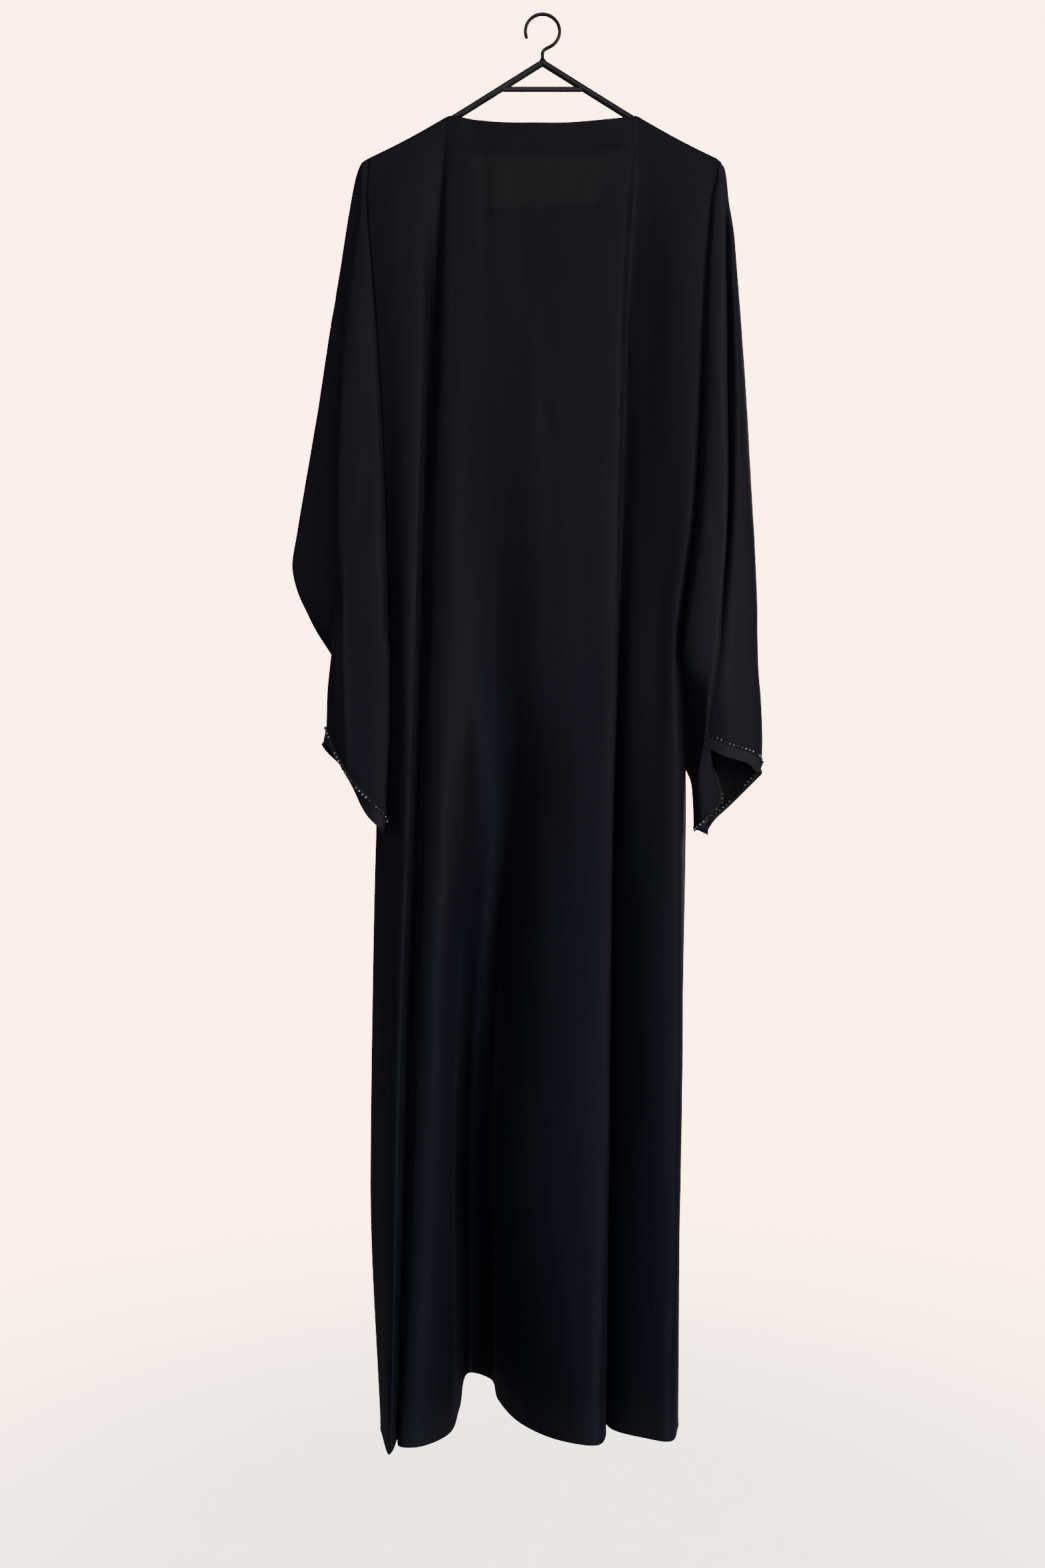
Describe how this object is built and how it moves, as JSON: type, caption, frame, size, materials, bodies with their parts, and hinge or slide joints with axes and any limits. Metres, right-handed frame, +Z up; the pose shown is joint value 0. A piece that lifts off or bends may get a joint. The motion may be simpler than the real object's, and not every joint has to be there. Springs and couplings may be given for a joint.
{
  "type": "abaya cloak on a tube hanger",
  "caption": "Long loose abaya cloak with wide draped sleeves, piped cuffs and deep hem folds, hanging from a thin tube hanger with a wire hook.",
  "frame": {"origin": "point on the inside of the hook's bend that bears on the rail, on the hanger's middle line", "axes": "+Z up; the garment's back faces -Y; the wearer's left sleeve is at -X and the right sleeve at +X"},
  "size_m": [0.5314, 0.2532, 1.5675],
  "materials": {
    "crepe": "matt satin",
    "facing": "matt",
    "trim": "satin",
    "tube": "satin",
    "wire": "satin"
  },
  "bodies": {
    "root": {"back_panel": "crepe", "front_panel_left": "crepe", "front_panel_right": "crepe", "sleeve_left": "crepe", "sleeve_right": "crepe", "cuff_band_left": "crepe", "cuff_band_right": "crepe", "cuff_trim_left": "trim", "cuff_trim_right": "trim", "back_neck_facing": "facing", "hanger_arm_left": "tube", "hanger_arm_right": "tube", "hanger_brace": "tube", "hanger_hook": "wire"}
  },
  "joints": []
}
